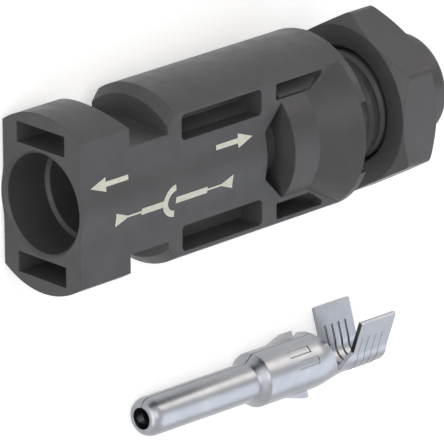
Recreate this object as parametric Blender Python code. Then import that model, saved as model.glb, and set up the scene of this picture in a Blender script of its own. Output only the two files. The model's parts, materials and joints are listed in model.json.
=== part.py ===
"""Solar cable connector: an in-line coupler with its gland nut, clamp cage and seal, and its crimp pin.

The coupler lies on one of its two flat sides, nose down because its rim is wider than the flats.
Its own frame has +X along the axis, from the mating face to the nut, Y across the round sides
and Z out of the flat sides. The pin is not fitted yet and lies on the same floor beside it.
Every dimension is in millimetres and becomes metres where a mesh is made.
"""
import math

import bmesh
import bpy
from mathutils import Matrix, Vector

MM = 0.001
GAP = 0.3
REACH = 1.0
SIDES = 48
CROWN_STEPS = 12
CORNER_STEPS = 3

# Body: a round bar with two flat sides
CROWN_R = 8.95
FLAT_Z = 5.25
RIM_X = 35.2
RIM_RECESS_DEPTH = 0.75
RIM_RECESS_HALF_Y = 3.65

# Mating tube, and the bore behind the mating face
TUBE_R = 5.6
TUBE_END_X = 24.4
BORE_R = 4.95
BORE_MOUTH = 0.3
BORE_STEP_X = 5.0
BORE_STEP = 0.35
BORE_END_X = 20.5
WEB_END_X = 27.5
CORE_WALL = 0.48

# Latch slots in the mating face and the notches that they open into
SLOT_HALF_Z = 3.3
SLOT_ROOF = 1.4
NOTCH_X0 = 6.5
NOTCH_LENGTH = 5.0
NOTCH_SINK = 0.2
NOTCH_STEP = 0.9
LEAN_DEPTH = 1.75
LEAN = 1.35

# Moulding pockets in the flat sides, and the window between tube and gland
POCKET_X0 = 13.3
POCKET_X1 = 23.95
POCKET_ROOF = 2.05
POCKET_WIDTH = 2.6
POCKET_FLOOR_Z = 2.3
POCKET_CORNER = 0.5
REAR_POCKET_X0 = 25.9
REAR_POCKET_X1 = 32.1
REAR_POCKET_WIDTH = 1.65
REAR_POCKET_SLANT = 1.7
REAR_POCKET_EDGE = 0.4
REAR_POCKET_CORNER = 0.2
WINDOW_X1 = 26.65
WINDOW_DIP = 2.3
WINDOW_HALF_Y = 4.85
WINDOW_NOSE_Y = 2.35
WINDOW_FLOOR_Z = 1.8

# Gland socket, flare and threaded neck
SOCKET_R = 7.15
FLARE_X0 = 30.0
FLARE_X1 = 34.4
RIM_STEP = 3.35
NECK_LENGTH = 7.6
NECK_WALL = 0.7

# Gland nut
NUT_STANDOFF = 5.2
NUT_FLAT_DROP = 0.75
NUT_CORNER_R = 1.0
HEX_LENGTH = 4.75
NUT_FACE_INSET = 0.05
NUT_CHAMFER_RISE = 1.8
NUT_CHAMFER_LENGTH = 1.25
NUT_BACK_DEPTH = 0.75
NUT_BACK_DOME = 1.0
NOSE_LENGTH = 4.75
NOSE_WALL = 1.95
NOSE_FILLET = 0.8
NOSE_TAPER = 0.15
NOSE_EDGE = 0.85
NUT_MOUTH = 0.15
NUT_BORE_DEPTH = 3.9
CONE_LIP = 0.4
CONE_LENGTH = 2.7
CONE_RISE = 1.5

# Clamp cage, pushed into the neck by the nut, and the seal inside it
CAGE_WALL = 0.55
CAGE_FRONT = 10.3
CAGE_EDGE = 0.25
CAGE_TAIL_SETBACK = 1.2
CAGE_LIP = 0.85
CAGE_LIP_LENGTH = 3.5
FINGER_PAIRS = 3
FINGER_LENGTH = 7.5
FINGER_SLOT = 0.9
SEAL_WALL = 0.65
SEAL_RIBS = 4
SEAL_RIB_SHARE = 0.55
SEAL_GROOVE = 0.3

# Crimp pin: rolled and folded from one sheet
SHEET = 0.5
PIN_R = 2.0
PIN_NOSE_LENGTH = 1.2
PIN_NOSE_DROP = 0.72
PIN_NOSE_HOLE_R = 1.12
PIN_LENGTH = 14.7
SHOULDER = 1.3
COLLAR_R = 2.82
COLLAR_LENGTH = 7.4
NECKING = 5.0
WING_LENGTH = 5.1
WING_TOP_Z = 3.8
WING_HALF_Y = 3.5
TROUGH_R = 2.3
TROUGH_DEPTH = 2.2
CUT_SETBACK = 1.0
CUT_SLANT = 1.8
CUT_FLOOR_Z = -1.0
CUT_FLOOR_LENGTH = 0.4
CUT_CORNER = 1.4
LANCE_SETBACK = 3.0
LANCE_LENGTH = 3.7
LANCE_WIDTH = 1.3
LANCE_LIFT = 0.6
LANCE_TIP = 0.6
LANCE_ANGLES = (62.0, 255.0)
PIN_SIDES = 40
SHOULDER_STEPS = 4
NECKING_STEPS = 6

# Where the loose pin lies beside the coupler
PIN_X = 18.15
PIN_Y = -28.35
PIN_YAW = math.radians(-2.1)

# How far behind the mating face the tip of a fitted pin sits
PIN_SEAT_X = 3.0

# Places in the coupler that follow from the sizes above
NOTCH_X1 = NOTCH_X0 + NOTCH_LENGTH
NOTCH_FLOOR_Y = TUBE_R - NOTCH_SINK
NOTCH_STEP_R = CROWN_R - NOTCH_STEP
SLOT_TOP_Y = CROWN_R - SLOT_ROOF
LEAN_Y = CROWN_R - LEAN_DEPTH
POCKET_Y1 = CROWN_R - POCKET_ROOF
POCKET_Y0 = POCKET_Y1 - POCKET_WIDTH
REAR_POCKET_Y0 = POCKET_Y1 - REAR_POCKET_WIDTH
NECK_END_X = RIM_X + NECK_LENGTH
NUT_X = RIM_X + NUT_STANDOFF
HEX_END_X = NUT_X + HEX_LENGTH
NUT_END_X = HEX_END_X + NOSE_LENGTH
CAGE_SEAT_X = NUT_X + NUT_BORE_DEPTH
CONE_END_X = CAGE_SEAT_X + CONE_LENGTH
ACROSS_FLATS = 2 * (CROWN_R - NUT_FLAT_DROP)
NECK_R = CROWN_R - RIM_STEP
NUT_BORE_R = NECK_R + GAP
NECK_BORE_R = NECK_R - NECK_WALL
CAGE_R = NECK_BORE_R - GAP
CONE_R = CAGE_R + CONE_LIP
CABLE_HOLE_R = CONE_R - CONE_RISE
NOSE_R = CABLE_HOLE_R + NOSE_WALL
CAGE_X = CAGE_SEAT_X - CAGE_FRONT
CAGE_TAIL_X = CONE_END_X - CAGE_TAIL_SETBACK
CAGE_LIP_X = CAGE_TAIL_X - CAGE_LIP_LENGTH
CAGE_INNER_R = CAGE_R - CAGE_WALL
CAGE_LIP_R = CAGE_INNER_R - CAGE_LIP
SEAL_R = CAGE_INNER_R - GAP
SEAL_HOLE_R = SEAL_R - SEAL_WALL

# Stations along the pin, and the web of the housing that it snaps into
COLLAR_X = PIN_LENGTH + SHOULDER
COLLAR_END_X = COLLAR_X + COLLAR_LENGTH
WING_X = COLLAR_END_X + NECKING
LANCE_X = COLLAR_X + LANCE_SETBACK
LANCE_END_X = LANCE_X + LANCE_LENGTH
PIN_HOLE_R = COLLAR_R + GAP
CATCH_R = COLLAR_R + LANCE_LIFT + GAP
CORE_R = CATCH_R + CORE_WALL
CATCH_X0 = PIN_SEAT_X + LANCE_X
CATCH_X1 = PIN_SEAT_X + LANCE_END_X + GAP


def material(name, colour, roughness, metallic=0.0):
    """Principled material with one colour."""
    made = bpy.data.materials.new(name)
    made.use_nodes = True
    shader = made.node_tree.nodes["Principled BSDF"]
    shader.inputs["Base Color"].default_value = (*colour, 1.0)
    shader.inputs["Roughness"].default_value = roughness
    shader.inputs["Metallic"].default_value = metallic
    made.diffuse_color = (*colour, 1.0)
    return made


def solid(name, bm):
    """Turn a bmesh in millimetres into an object in metres, faces outward."""
    bmesh.ops.remove_doubles(bm, verts=bm.verts, dist=1e-5)
    bmesh.ops.recalc_face_normals(bm, faces=bm.faces)
    bmesh.ops.scale(bm, vec=(MM, MM, MM), verts=bm.verts)
    mesh = bpy.data.meshes.new(name)
    bm.to_mesh(mesh)
    bm.free()
    mesh.shade_smooth()
    mesh.set_sharp_from_angle(angle=math.radians(30))
    made = bpy.data.objects.new(name, mesh)
    bpy.context.scene.collection.objects.link(made)
    return made


def turned(name, profile, closed=False):
    """Spin (x, radius) points about the X axis; an open profile is closed on the axis."""
    bm = bmesh.new()
    points = list(profile)
    if not closed:
        points = [(points[0][0], 0.0), *points, (points[-1][0], 0.0)]
    verts = [bm.verts.new((x, 0.0, radius)) for x, radius in points]
    edges = [bm.edges.new(pair) for pair in zip(verts, verts[1:])]
    if closed:
        edges.append(bm.edges.new((verts[-1], verts[0])))
    bmesh.ops.spin(bm, geom=verts + edges, cent=(0, 0, 0), axis=(1, 0, 0),
                   angle=math.tau, steps=SIDES, use_merge=True)
    return solid(name, bm)


def prism(name, outline, axis, start, end):
    """Extrude an outline along X or Z; the outline is (y, z) points for X and (x, y) for Z."""
    bm = bmesh.new()
    if axis == "X":
        corners = [(start, a, b) for a, b in outline]
        travel = Vector((end - start, 0, 0))
    else:
        corners = [(a, b, start) for a, b in outline]
        travel = Vector((0, 0, end - start))
    face = bm.faces.new([bm.verts.new(corner) for corner in corners])
    grown = bmesh.ops.extrude_face_region(bm, geom=[face])
    moved = [item for item in grown["geom"] if isinstance(item, bmesh.types.BMVert)]
    bmesh.ops.translate(bm, verts=moved, vec=travel)
    return solid(name, bm)


def block(name, low, high):
    """Box between two corners."""
    outline = [(low[0], low[1]), (high[0], low[1]), (high[0], high[1]), (low[0], high[1])]
    return prism(name, outline, "Z", low[2], high[2])


def combine(target, tool, operation="DIFFERENCE"):
    """Add a Boolean modifier to target and mark its tool as a guide."""
    step = target.modifiers.new(tool.name, "BOOLEAN")
    step.operation = operation
    step.solver = "EXACT"
    step.object = tool
    tool.parent = target
    tool.hide_render = True
    tool.display_type = "WIRE"


def arc(centre, radius, start, end, steps):
    """Points on an arc, angles in degrees."""
    angles = [math.radians(start + (end - start) * i / steps) for i in range(steps + 1)]
    return [(centre[0] + radius * math.cos(a), centre[1] + radius * math.sin(a)) for a in angles]


def ease(share):
    """Smooth step from 0 to 1."""
    return share * share * (3 - 2 * share)


def rounded(outline, radius):
    """Convex outline, listed anticlockwise, with every corner replaced by an arc."""
    points = []
    for i, corner in enumerate(outline):
        here = Vector(corner)
        back = (Vector(outline[i - 1]) - here).normalized()
        ahead = (Vector(outline[(i + 1) % len(outline)]) - here).normalized()
        half = back.angle(ahead) / 2
        centre = here + (back + ahead).normalized() * radius / math.sin(half)
        first = here + back * radius / math.tan(half) - centre
        start = math.degrees(math.atan2(first.y, first.x))
        points += arc(centre, radius, start, start + 180 - math.degrees(2 * half), CORNER_STEPS)
    return points


def mirrored(outline, side):
    """The outline on the +Y side, or its mirror image on the -Y side."""
    return [(x, side * y) for x, y in outline]


def body_outline():
    """Section of the body: two round crowns joined by two flats."""
    reach = math.degrees(math.asin(FLAT_Z / CROWN_R))
    return (arc((0, 0), CROWN_R, -reach, reach, CROWN_STEPS)
            + arc((0, 0), CROWN_R, 180 - reach, 180 + reach, CROWN_STEPS))


def cut_latch_features(housing, side):
    """Latch slot through the front block, and the notch behind it, on one crown."""
    slot = [(-REACH, NOTCH_FLOOR_Y), (NOTCH_X0 + REACH, NOTCH_FLOOR_Y),
            (NOTCH_X0 + REACH, SLOT_TOP_Y), (-REACH, SLOT_TOP_Y)]
    combine(housing, prism(f"slot_{side}", mirrored(slot, side), "Z", -SLOT_HALF_Z, SLOT_HALF_Z))
    top = CROWN_R + REACH
    lean = LEAN * (top - LEAN_Y) / LEAN_DEPTH
    notch = [(NOTCH_X0, NOTCH_FLOOR_Y), (NOTCH_X1, NOTCH_FLOOR_Y), (NOTCH_X1, top),
             (NOTCH_X0 - lean, top), (NOTCH_X0, LEAN_Y)]
    combine(housing, prism(f"notch_{side}", mirrored(notch, side), "Z", -CROWN_R, CROWN_R))


def cut_pockets(housing, side, face):
    """Front and rear moulding pockets on one half of one flat side."""
    top = face * (FLAT_Z + REACH)
    floor = face * POCKET_FLOOR_Z
    front = rounded([(POCKET_X0, POCKET_Y0), (POCKET_X1, POCKET_Y0),
                     (POCKET_X1, POCKET_Y1), (POCKET_X0, POCKET_Y1)], POCKET_CORNER)
    combine(housing, prism(f"pocket_{side}_{face}", mirrored(front, side), "Z", floor, top))
    slant_x = REAR_POCKET_X1 - REAR_POCKET_SLANT
    rear = rounded([(REAR_POCKET_X0, REAR_POCKET_Y0), (slant_x, REAR_POCKET_Y0),
                    (REAR_POCKET_X1, POCKET_Y1 - REAR_POCKET_EDGE), (REAR_POCKET_X1, POCKET_Y1),
                    (REAR_POCKET_X0, POCKET_Y1)], REAR_POCKET_CORNER)
    combine(housing, prism(f"rear_pocket_{side}_{face}", mirrored(rear, side), "Z", floor, top))


def cut_window(housing, face):
    """Gap in one flat side between the end of the mating tube and the gland socket."""
    nose_x = WINDOW_X1 - WINDOW_DIP
    outline = [(WINDOW_X1 + REACH, -WINDOW_HALF_Y), (WINDOW_X1 + REACH, WINDOW_HALF_Y),
               (WINDOW_X1, WINDOW_HALF_Y), (nose_x, WINDOW_NOSE_Y), (nose_x, -WINDOW_NOSE_Y),
               (WINDOW_X1, -WINDOW_HALF_Y)]
    combine(housing, prism(f"window_{face}", outline, "Z", face * WINDOW_FLOOR_Z,
                           face * (FLAT_Z + REACH)))


def bore_profile():
    """Inside of the housing: mating bore, the web that holds the pin, and the gland's bore."""
    step_r = BORE_R - BORE_STEP
    return [(-REACH, BORE_R + BORE_MOUTH + REACH), (BORE_MOUTH, BORE_R),
            (BORE_STEP_X, BORE_R), (BORE_STEP_X + BORE_STEP, step_r),
            (BORE_END_X, step_r), (BORE_END_X, PIN_HOLE_R),
            (CATCH_X0, PIN_HOLE_R), (CATCH_X0, CATCH_R),
            (CATCH_X1, CATCH_R), (CATCH_X1, PIN_HOLE_R),
            (WEB_END_X, PIN_HOLE_R), (WEB_END_X, NECK_BORE_R), (NECK_END_X + REACH, NECK_BORE_R)]


def make_housing(finish):
    """Insulating housing, one moulding from the mating face to the threaded neck."""
    housing = prism("housing", body_outline(), "X", 0, RIM_X)
    lift = CROWN_R + REACH - NOTCH_STEP_R
    combine(housing, turned("notch_ramp", [(NOTCH_X1 - REACH, NOTCH_STEP_R),
                                           (NOTCH_X1, NOTCH_STEP_R),
                                           (NOTCH_X1 + lift, NOTCH_STEP_R + lift),
                                           (NOTCH_X1 - REACH, NOTCH_STEP_R + lift)],
                            closed=True))
    for side in (1, -1):
        cut_latch_features(housing, side)
        for face in (1, -1):
            cut_pockets(housing, side, face)
    for face in (1, -1):
        cut_window(housing, face)
    combine(housing, turned("tube", [(0, TUBE_R), (TUBE_END_X, TUBE_R)]), "UNION")
    combine(housing, turned("core", [(TUBE_END_X - REACH, CORE_R), (FLARE_X0, CORE_R)]), "UNION")
    combine(housing, turned("flare", [(WINDOW_X1, SOCKET_R), (FLARE_X0, SOCKET_R),
                                      (FLARE_X1, CROWN_R), (RIM_X, CROWN_R)]), "UNION")
    recess = block("rim_recess", (RIM_X - RIM_RECESS_DEPTH, -RIM_RECESS_HALF_Y, -CROWN_R - REACH),
                   (RIM_X + REACH, RIM_RECESS_HALF_Y, CROWN_R + REACH))
    combine(housing, recess)
    combine(housing, turned("neck", [(FLARE_X1 - REACH, NECK_R), (NECK_END_X, NECK_R)]), "UNION")
    combine(housing, turned("bore", bore_profile()))
    housing.data.materials.append(finish)
    return housing


def hex_outline():
    """Hexagon with round corners, flats facing +Z and -Z."""
    corner_reach = (ACROSS_FLATS / 2 - NUT_CORNER_R) / math.cos(math.radians(30))
    points = []
    for turn in range(0, 360, 60):
        centre = (corner_reach * math.cos(math.radians(turn)),
                  corner_reach * math.sin(math.radians(turn)))
        points += arc(centre, NUT_CORNER_R, turn - 30, turn + 30, CORNER_STEPS)
    return points


def nut_profile():
    """Turned outside of the nut: chamfered hexagon, domed back and round nose."""
    half = ACROSS_FLATS / 2 - NUT_FACE_INSET
    outer = half + NUT_CHAMFER_RISE
    back_x = HEX_END_X + NUT_BACK_DEPTH
    tip_r = NOSE_R - NOSE_TAPER
    return [(NUT_X, half), (NUT_X + NUT_CHAMFER_LENGTH, outer),
            (HEX_END_X - NUT_CHAMFER_LENGTH, outer), (HEX_END_X, half),
            (HEX_END_X + NUT_BACK_DEPTH / 2, half - NUT_BACK_DOME),
            *arc((back_x + NOSE_FILLET, NOSE_R + NOSE_FILLET), NOSE_FILLET, 180, 270, CORNER_STEPS),
            *arc((NUT_END_X - NOSE_EDGE, tip_r - NOSE_EDGE), NOSE_EDGE, 90, 0, CORNER_STEPS)]


def make_nut(finish):
    """Gland nut: hexagon and nose outside, a bore that ends in a cone inside."""
    nut = prism("gland_nut", hex_outline(), "X", NUT_X, NUT_END_X)
    combine(nut, turned("nut_shape", nut_profile()), "INTERSECT")
    combine(nut, turned("nut_bore", [(NUT_X - REACH, NUT_BORE_R + NUT_MOUTH + REACH),
                                     (NUT_X + NUT_MOUTH, NUT_BORE_R),
                                     (CAGE_SEAT_X, NUT_BORE_R), (CAGE_SEAT_X, CONE_R),
                                     (CONE_END_X, CABLE_HOLE_R),
                                     (NUT_END_X + REACH, CABLE_HOLE_R)]))
    nut.data.materials.append(finish)
    return nut


def make_cage(finish):
    """Clamp cage: a sleeve with fingers towards the front and a tapered tail in the cone."""
    slope = CONE_RISE / CONE_LENGTH
    clearance = GAP / math.cos(math.atan(slope))
    taper_x = CAGE_SEAT_X + (CONE_R - clearance - CAGE_R) / slope
    tail_r = CAGE_R - slope * (CAGE_TAIL_X - taper_x)
    cage = turned("clamp_cage", [(CAGE_X, CAGE_INNER_R), (CAGE_X, CAGE_R - CAGE_EDGE),
                                 (CAGE_X + CAGE_EDGE, CAGE_R), (taper_x, CAGE_R),
                                 (CAGE_TAIL_X, tail_r), (CAGE_TAIL_X, CAGE_LIP_R),
                                 (CAGE_LIP_X, CAGE_LIP_R), (CAGE_LIP_X, CAGE_INNER_R)], closed=True)
    for i in range(FINGER_PAIRS):
        slit = block(f"finger_slot_{i}", (CAGE_X - REACH, -CAGE_R - REACH, -FINGER_SLOT / 2),
                     (CAGE_X + FINGER_LENGTH, CAGE_R + REACH, FINGER_SLOT / 2))
        slit.rotation_euler = (math.pi * i / FINGER_PAIRS, 0, 0)
        combine(cage, slit)
    cage.data.materials.append(finish)
    return cage


def make_seal(finish):
    """Rubber seal with ribs round the outside, held inside the cage."""
    first = CAGE_X + GAP
    last = CAGE_LIP_X - GAP
    pitch = (last - first) / SEAL_RIBS
    profile = []
    for i in range(SEAL_RIBS):
        x = first + i * pitch
        rib_end = x + pitch * SEAL_RIB_SHARE
        profile += [(x, SEAL_R), (rib_end, SEAL_R),
                    (rib_end, SEAL_R - SEAL_GROOVE), (x + pitch, SEAL_R - SEAL_GROOVE)]
    seal = turned("cable_seal", [*profile, (last, SEAL_HOLE_R), (first, SEAL_HOLE_R)], closed=True)
    seal.data.materials.append(finish)
    return seal


def wing_section(angle, inset):
    """Reach of the folded wings' section from the pin's axis, at an angle from +Y."""
    across = abs(math.cos(angle))
    up = math.sin(angle)
    if up < 0:
        wide = TROUGH_R - inset
        deep = TROUGH_DEPTH - inset
        return wide * deep / math.hypot(deep * across, wide * up)
    top = WING_TOP_Z + (REACH if inset else 0.0)
    splay = (WING_HALF_Y - TROUGH_R) / WING_TOP_Z
    wall = across - splay * up
    limits = [math.hypot(WING_HALF_Y - inset + splay * (top - WING_TOP_Z), top)]
    if up > 0:
        limits.append(top / up)
    if wall > 0:
        limits.append((TROUGH_R - inset) / wall)
    return min(limits)


def pin_stations(inset):
    """(x, round radius, share of the wings' section) along the pin, from tip to wings."""
    if inset:
        stations = [(-REACH, PIN_NOSE_HOLE_R), (SHEET, PIN_NOSE_HOLE_R),
                    (PIN_NOSE_LENGTH + SHEET, PIN_R - inset)]
    else:
        turns = [math.pi / 2 * i / CORNER_STEPS for i in range(CORNER_STEPS + 1)]
        stations = [(PIN_NOSE_LENGTH * (1 - math.cos(t)), PIN_R - PIN_NOSE_DROP * (1 - math.sin(t)))
                    for t in turns]
    for i in range(SHOULDER_STEPS + 1):
        share = i / SHOULDER_STEPS
        stations.append((PIN_LENGTH + SHOULDER * share,
                         PIN_R + (COLLAR_R - PIN_R) * ease(share) - inset))
    listed = [(x, radius, 0.0) for x, radius in stations]
    for i in range(NECKING_STEPS + 1):
        share = i / NECKING_STEPS
        listed.append((COLLAR_END_X + NECKING * share, COLLAR_R - inset, ease(share)))
    end = WING_X + WING_LENGTH + (REACH if inset else 0.0)
    listed.append((end, COLLAR_R - inset, 1.0))
    return listed


def pin_loft(name, inset):
    """Loft of the pin's outer or inner surface as one closed solid."""
    bm = bmesh.new()
    rings = []
    for x, radius, share in pin_stations(inset):
        ring = []
        for i in range(PIN_SIDES):
            angle = math.tau * (i + 0.5) / PIN_SIDES
            reach = radius + share * (wing_section(angle, inset) - radius)
            ring.append(bm.verts.new((x, reach * math.cos(angle), reach * math.sin(angle))))
        rings.append(ring)
    for back, front in zip(rings, rings[1:]):
        for i in range(PIN_SIDES):
            j = (i + 1) % PIN_SIDES
            bm.faces.new((back[i], back[j], front[j], front[i]))
    bm.faces.new(rings[0])
    bm.faces.new(rings[-1])
    return solid(name, bm)


def make_pin(finish):
    """Crimp pin: a rolled pin and collar that open into two crimp wings."""
    pin = pin_loft("pin_contact", 0.0)
    root = COLLAR_R - SHEET / 2
    tip = COLLAR_R + LANCE_LIFT
    for i, turn in enumerate(LANCE_ANGLES):
        outline = [(LANCE_X, root), (LANCE_END_X, root), (LANCE_END_X, tip),
                   (LANCE_END_X - LANCE_TIP, tip)]
        lance = prism(f"lance_{i}", outline, "Z", -LANCE_WIDTH / 2, LANCE_WIDTH / 2)
        lance.rotation_euler = (math.radians(turn), 0, 0)
        combine(pin, lance, "UNION")
    combine(pin, pin_loft("pin_hollow", SHEET))
    top = WING_TOP_Z + REACH
    cut_x = COLLAR_END_X + CUT_SETBACK
    low_x = cut_x + CUT_SLANT
    cut = [(cut_x, COLLAR_R), (low_x, CUT_FLOOR_Z), (low_x + CUT_FLOOR_LENGTH, CUT_FLOOR_Z),
           (WING_X, CUT_FLOOR_Z + CUT_CORNER), (WING_X, top), (cut_x, top)]
    notch = prism("wing_opening", cut, "Z", -WING_HALF_Y - REACH, WING_HALF_Y + REACH)
    notch.rotation_euler = (math.pi / 2, 0, 0)
    combine(pin, notch)
    pin.data.materials.append(finish)
    return pin


def lay_pin(pin, floor):
    """Lay the pin on its side: nose, collar and the lower wing's edge touch the floor."""
    run = COLLAR_X - PIN_NOSE_LENGTH
    pitch = math.asin((COLLAR_R - PIN_R) / run)
    tip_z = PIN_R / math.cos(pitch) - PIN_NOSE_LENGTH * math.tan(pitch)
    wing_z = tip_z + WING_X * math.tan(pitch)
    reach = math.hypot(WING_HALF_Y, WING_TOP_Z)
    roll = math.asin(wing_z * math.cos(pitch) / reach) - math.atan2(WING_HALF_Y, WING_TOP_Z)
    turn = (Matrix.Rotation(PIN_YAW, 4, "Z") @ Matrix.Rotation(-pitch, 4, "Y")
            @ Matrix.Rotation(-math.pi / 2 - roll, 4, "X"))
    seat = bpy.data.objects.new("pin_seat", None)
    bpy.context.scene.collection.objects.link(seat)
    seat.matrix_local = Matrix.Translation(Vector((PIN_X, PIN_Y, tip_z)) * MM) @ turn
    seat.parent = floor
    pin.parent = seat


def lay_coupler(pieces, floor):
    """Lay the coupler on its flat side: the mating tube and the rim or the nut touch the floor."""
    supports = ((FLARE_X1, CROWN_R), (NUT_X, ACROSS_FLATS / 2))
    tilt = max(math.atan((radius - TUBE_R) / x) for x, radius in supports)
    axis = bpy.data.objects.new("coupler_axis", None)
    bpy.context.scene.collection.objects.link(axis)
    axis.rotation_euler = (0, -tilt, 0)
    axis.location = (0, 0, TUBE_R * math.cos(tilt) * MM)
    axis.parent = floor
    for piece in pieces:
        piece.parent = axis


def centre_on_floor(pieces, floor):
    """Move everything so that the middle of the footprint is at the origin, standing on z = 0."""
    bpy.context.view_layer.update()
    graph = bpy.context.evaluated_depsgraph_get()
    corners = []
    for piece in pieces:
        shown = piece.evaluated_get(graph)
        corners += [shown.matrix_world @ vert.co for vert in shown.data.vertices]
    low = Vector(min(corner[i] for corner in corners) for i in range(3))
    high = Vector(max(corner[i] for corner in corners) for i in range(3))
    floor.location = (-(low.x + high.x) / 2, -(low.y + high.y) / 2, -low.z)


def main():
    for old in list(bpy.data.objects):
        bpy.data.objects.remove(old)
    plastic = (0.075, 0.077, 0.082)
    housing = make_housing(material("housing_plastic", plastic, 0.42))
    nut = make_nut(material("nut_plastic", plastic, 0.42))
    cage = make_cage(material("cage_plastic", (0.55, 0.56, 0.55), 0.4))
    seal = make_seal(material("seal_rubber", (0.03, 0.03, 0.03), 0.7))
    pin = make_pin(material("tinned_copper", (0.78, 0.79, 0.8), 0.25, 1.0))
    floor = bpy.data.objects.new("floor_frame", None)
    bpy.context.scene.collection.objects.link(floor)
    lay_coupler([housing, nut, cage, seal], floor)
    lay_pin(pin, floor)
    centre_on_floor([housing, nut, cage, seal, pin], floor)


main()
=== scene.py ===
"""Looks of the solar cable connector: coupler, gland nut, clamp cage, seal and loose crimp pin."""
import json
import math

import bmesh
import bpy
from mathutils import Matrix, Vector

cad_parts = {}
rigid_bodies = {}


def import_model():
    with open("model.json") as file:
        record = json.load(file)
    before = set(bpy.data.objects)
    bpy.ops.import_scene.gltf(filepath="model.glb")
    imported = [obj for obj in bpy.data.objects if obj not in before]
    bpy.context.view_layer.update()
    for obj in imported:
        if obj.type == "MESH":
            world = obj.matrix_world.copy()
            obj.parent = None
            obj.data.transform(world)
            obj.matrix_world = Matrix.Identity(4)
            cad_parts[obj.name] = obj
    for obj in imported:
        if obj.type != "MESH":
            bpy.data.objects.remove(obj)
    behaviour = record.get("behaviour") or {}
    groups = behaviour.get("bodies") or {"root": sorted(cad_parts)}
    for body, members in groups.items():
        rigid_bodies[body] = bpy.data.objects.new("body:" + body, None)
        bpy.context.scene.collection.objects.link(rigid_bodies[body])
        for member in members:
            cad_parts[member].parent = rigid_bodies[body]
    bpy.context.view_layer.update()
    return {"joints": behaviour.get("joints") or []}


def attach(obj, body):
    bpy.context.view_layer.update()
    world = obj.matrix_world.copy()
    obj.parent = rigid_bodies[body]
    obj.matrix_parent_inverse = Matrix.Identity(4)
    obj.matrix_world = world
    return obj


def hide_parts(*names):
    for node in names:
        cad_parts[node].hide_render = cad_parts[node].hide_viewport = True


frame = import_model()

# Lengths are in millimetres, except where a comment says metres
MM = 0.001

# Clearance between pieces that move or push together, and how far a cutting tool overshoots
GAP = 0.3
REACH = 1.0

# Steps of round shapes
SIDES = 144
CROWN_STEPS = 30
CORNER_STEPS = 10

# Points closer than this are one, and faces within this angle are one face
WELD = 1e-5
MERGE = 0.002
SNAP = 1e-6
LEVEL = math.radians(0.5)

# Edges sharper than this stay sharp in the shading
SHARP = math.radians(12)

# Body: a round bar with two flat sides
CROWN_R = 8.95
FLAT_Z = 5.25
RIM_X = 35.2
RIM_RECESS_DEPTH = 0.75
RIM_RECESS_HALF_Y = 3.65

# Mating tube, and the bore behind the mating face
TUBE_R = 5.6
TUBE_END_X = 24.4
BLEND_Y0 = 1.0
BLEND_Y1 = 3.0
BLEND_STEPS = 12
TUBE_STEPS = 46
BORE_R = 4.95
BORE_MOUTH = 0.3
BORE_STEP_X = 5.0
BORE_STEP = 0.35
BORE_END_X = 20.5
WEB_END_X = 27.5
CORE_WALL = 0.48

# Latch slots in the mating face and the notches that they open into
SLOT_HALF_Z = 3.3
SLOT_ROOF = 1.4
SLOT_LIFT = 0.08
NOTCH_X0 = 6.5
NOTCH_LENGTH = 5.0
NOTCH_SINK = 0.2
NOTCH_STEP = 0.9
LEAN_DEPTH = 1.75
LEAN = 1.35

# Moulding pockets in the flat sides, and the window between tube and gland
POCKET_X0 = 13.3
POCKET_X1 = 23.95
POCKET_ROOF = 2.05
POCKET_WIDTH = 2.6
POCKET_FLOOR_Z = 2.3
POCKET_CORNER = 0.5
REAR_POCKET_X0 = 25.9
REAR_POCKET_X1 = 32.1
REAR_POCKET_WIDTH = 1.65
REAR_POCKET_SLANT = 1.7
REAR_POCKET_EDGE = 0.4
REAR_POCKET_CORNER = 0.2
WINDOW_X1 = 26.65
WINDOW_DIP = 2.3
WINDOW_HALF_Y = 4.85
WINDOW_NOSE_Y = 2.35
WINDOW_FLOOR_Z = 1.8

# Gland socket, flare and threaded neck
SOCKET_R = 7.15
FLARE_X0 = 30.0
FLARE_X1 = 34.4
FLARE_PROUD = 0.01
RIM_STEP = 3.35
NECK_LENGTH = 7.6
NECK_WALL = 0.7
THREAD_PITCH = 1.5
THREAD_DEPTH = 0.3
THREAD_RUNOUT = 0.4
THREAD_SEAT = 0.1
THREAD_PROUD = 0.01

# Thread: corners round it, steps per pitch, and its ridge, crest less slope times offset, cut at 1
THREAD_SIDES = 96
THREAD_STEPS = 16
THREAD_CREST = 1.9
THREAD_SLOPE = 4.2

# Gland nut
NUT_STANDOFF = 5.2
NUT_FLAT_DROP = 0.75
NUT_CORNER_R = 1.0
HEX_LENGTH = 4.75
NUT_FACE_INSET = 0.05
NUT_CHAMFER_RISE = 1.8
NUT_CHAMFER_LENGTH = 1.25
NUT_BACK_DEPTH = 0.75
NUT_BACK_DOME = 1.0
NOSE_LENGTH = 4.75
NOSE_WALL = 1.95
NOSE_FILLET = 0.8
NOSE_TAPER = 0.15
NOSE_EDGE = 0.85
NUT_MOUTH = 0.15
NUT_BORE_DEPTH = 3.9
CONE_LIP = 0.4
CONE_LENGTH = 2.7
CONE_RISE = 1.5

# Clamp cage, pushed into the neck by the nut, and the seal inside it
CAGE_WALL = 0.55
CAGE_FRONT = 10.3
CAGE_EDGE = 0.25
CAGE_TAIL_SETBACK = 1.2
CAGE_LIP = 0.85
CAGE_LIP_LENGTH = 3.5
FINGER_PAIRS = 3
FINGER_LENGTH = 7.5
FINGER_SLOT = 0.9
SEAL_WALL = 0.65
SEAL_RIBS = 4
SEAL_RIB_SHARE = 0.55
SEAL_GROOVE = 0.3

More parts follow.
